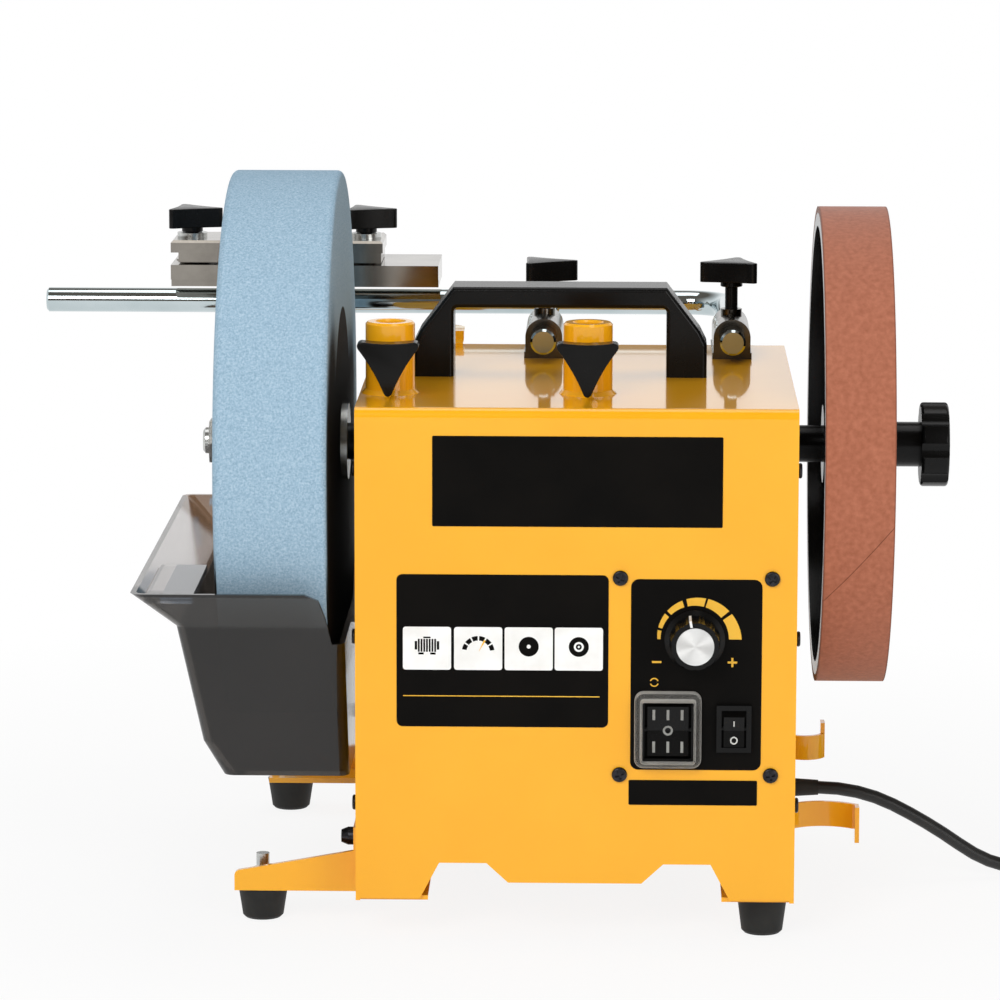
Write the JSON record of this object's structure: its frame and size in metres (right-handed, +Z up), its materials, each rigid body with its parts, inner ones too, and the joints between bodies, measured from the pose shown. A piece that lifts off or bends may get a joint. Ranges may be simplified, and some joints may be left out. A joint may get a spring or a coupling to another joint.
{
  "type": "wet grinding sharpener",
  "caption": "Bench wet grinder: slow stone in a water trough, leather honing wheel, yellow sheet housing with speed dial and switches, bent support rod with a clamping jig.",
  "frame": {"origin": "on the bench at the middle of the footprint, without the cord", "axes": "+X to the honing wheel, +Y to the back with the support rod, +Z up"},
  "size_m": [0.5691, 0.3374, 0.3295],
  "materials": {
    "housing_paint": "gloss powder coat, warm yellow",
    "black_plastic": "satin black moulding",
    "reverse_rocker_plastic": "satin black rocker",
    "power_rocker_plastic": "gloss red rocker",
    "clear_boot": "clear flexible cover",
    "knob_cap_metal": "spun disc",
    "black_screw": "black oxide",
    "zinc_steel": "zinc plated",
    "chrome_rod": "bright ground rod",
    "jig_metal": "polished plate",
    "bush_bronze": "sintered bronze",
    "rubber_black": "matt black rubber",
    "cord_rubber": "black cord sheath",
    "plug_plastic": "black moulded plug",
    "abrasive_stone": "matt vitrified abrasive, pale blue, opaque",
    "honing_leather": "suede, reddish brown",
    "honing_hub_plastic": "moulded wheel",
    "trough_plastic": "smoke grey, slightly see-through",
    "motor_iron": "painted motor",
    "board_laminate": "circuit board"
  },
  "bodies": {
    "frame": {"housing_shell": "housing_paint", "left_side_panel": "housing_paint", "right_side_panel": "housing_paint", "bottom_plate": "housing_paint", "front_sleeve_left": "housing_paint", "front_sleeve_right": "housing_paint", "rear_sleeve_left": "housing_paint", "rear_sleeve_right": "housing_paint", "rear_ring_tab": "housing_paint", "outrigger_front": "housing_paint", "outrigger_rear": "housing_paint", "cord_hook_upper": "housing_paint", "cord_hook_lower": "housing_paint", "trough_hanger": "housing_paint", "carry_handle": "black_plastic", "reverse_switch": "black_plastic", "power_switch": "black_plastic", "speed_pot": "black_plastic", "switch_boot": "clear_boot", "case_screws": "black_screw", "outrigger_screw": "black_screw", "foot_bolts": "zinc_steel", "motor_cradle": "zinc_steel", "shaft_bushes": "bush_bronze", "rubber_feet": "rubber_black", "cord_gland": "rubber_black", "drive_belt": "rubber_black", "cord_run": "cord_rubber", "cord_coil": "cord_rubber", "cord_tail": "cord_rubber", "power_plug": "plug_plastic", "motor": "motor_iron", "control_board": "board_laminate"},
    "spindle": {"main_shaft": "zinc_steel", "grinding_stone": "abrasive_stone", "stone_washers": "zinc_steel", "stone_nut": "zinc_steel", "shaft_spacers": "zinc_steel", "shaft_pulley": "zinc_steel", "honing_hub": "honing_hub_plastic", "honing_leather": "honing_leather"},
    "rotor": {"motor_shaft": "zinc_steel", "motor_pulley": "zinc_steel"},
    "speed_dial": {"speed_knob": "black_plastic", "speed_knob_cap": "knob_cap_metal"},
    "support": {"support_bar": "chrome_rod"},
    "jig_slider": {"jig_bush": "bush_bronze"},
    "jig": {"jig_base": "jig_metal"},
    "jaw": {"jig_jaw": "jig_metal", "jig_washers": "zinc_steel"},
    "trough": {"water_trough": "trough_plastic"},
    "honing_knob_part": {"honing_knob": "black_plastic"},
    "reverse_rocker_part": {"reverse_rocker": "reverse_rocker_plastic"},
    "power_rocker_part": {"power_rocker": "power_rocker_plastic"},
    "front_knob_left_part": {"front_knob_left": "black_plastic"},
    "front_knob_right_part": {"front_knob_right": "black_plastic"},
    "rear_knob_left_part": {"rear_knob_left": "black_plastic"},
    "rear_knob_right_part": {"rear_knob_right": "black_plastic"},
    "jig_knob_left_part": {"jig_knob_left": "black_plastic"},
    "jig_knob_right_part": {"jig_knob_right": "black_plastic"}
  },
  "joints": [
    {"name": "main_spin", "type": "hinge", "parent": "frame", "child": "spindle", "pos_m": [0.0478, -0.03135, 0.205], "axis": [1, 0, 0], "continuous": true},
    {"name": "motor_spin", "type": "hinge", "parent": "frame", "child": "rotor", "pos_m": [0.0478, -0.03635, 0.096], "axis": [1, 0, 0], "continuous": true},
    {"name": "honing_knob_turn", "type": "hinge", "parent": "spindle", "child": "honing_knob_part", "pos_m": [0.1878, -0.03135, 0.205], "axis": [1, 0, 0], "range_deg": [0, 900]},
    {"name": "speed_turn", "type": "hinge", "parent": "frame", "child": "speed_dial", "pos_m": [0.1, -0.15035, 0.1364], "axis": [0, 1, 0], "range_deg": [-74, 96]},
    {"name": "reverse_rock", "type": "hinge", "parent": "frame", "child": "reverse_rocker_part", "pos_m": [0.0885, -0.15035, 0.0961], "axis": [1, 0, 0], "range_deg": [-12, 12]},
    {"name": "power_rock", "type": "hinge", "parent": "frame", "child": "power_rocker_part", "pos_m": [0.1175, -0.15035, 0.0967], "axis": [1, 0, 0], "range_deg": [-18, 0]},
    {"name": "front_clamp_left", "type": "hinge", "parent": "frame", "child": "front_knob_left_part", "pos_m": [-0.0357, -0.11465, 0.255], "axis": [0, -1, 0], "range_deg": [0, 540]},
    {"name": "front_clamp_right", "type": "hinge", "parent": "frame", "child": "front_knob_right_part", "pos_m": [0.0523, -0.11465, 0.255], "axis": [0, -1, 0], "range_deg": [0, 540]},
    {"name": "rear_clamp_left", "type": "hinge", "parent": "frame", "child": "rear_knob_left_part", "pos_m": [0.0308, 0.03515, 0.27], "axis": [0, 0, 1], "range_deg": [0, 540]},
    {"name": "rear_clamp_right", "type": "hinge", "parent": "frame", "child": "rear_knob_right_part", "pos_m": [0.1188, 0.03515, 0.27], "axis": [0, 0, 1], "range_deg": [0, 540]},
    {"name": "support_slide", "type": "slide", "parent": "frame", "child": "support", "axis": [0, 1, 0], "range_m": [-0.02, 0.04]},
    {"name": "jig_slide", "type": "slide", "parent": "support", "child": "jig_slider", "axis": [1, 0, 0], "range_m": [-0.06, 0.03]},
    {"name": "jig_tilt", "type": "hinge", "parent": "jig_slider", "child": "jig", "pos_m": [-0.0822, 0.14365, 0.248], "axis": [1, 0, 0], "range_deg": [-25, 25]},
    {"name": "jaw_lift", "type": "slide", "parent": "jig", "child": "jaw", "axis": [0, 0, 1], "range_m": [0, 0.004]},
    {"name": "jig_clamp_left", "type": "hinge", "parent": "jaw", "child": "jig_knob_left_part", "pos_m": [-0.145, 0.14365, 0.285], "axis": [0, 0, 1], "range_deg": [0, 540]},
    {"name": "jig_clamp_right", "type": "hinge", "parent": "jaw", "child": "jig_knob_right_part", "pos_m": [-0.059, 0.14365, 0.285], "axis": [0, 0, 1], "range_deg": [0, 540]},
    {"name": "trough_lift", "type": "slide", "parent": "frame", "child": "trough", "axis": [0, 0, 1], "range_m": [0, 0.003]}
  ],
  "couplings": [
    {"joint": "motor_spin", "follows": "main_spin", "ratio": 2}
  ]
}
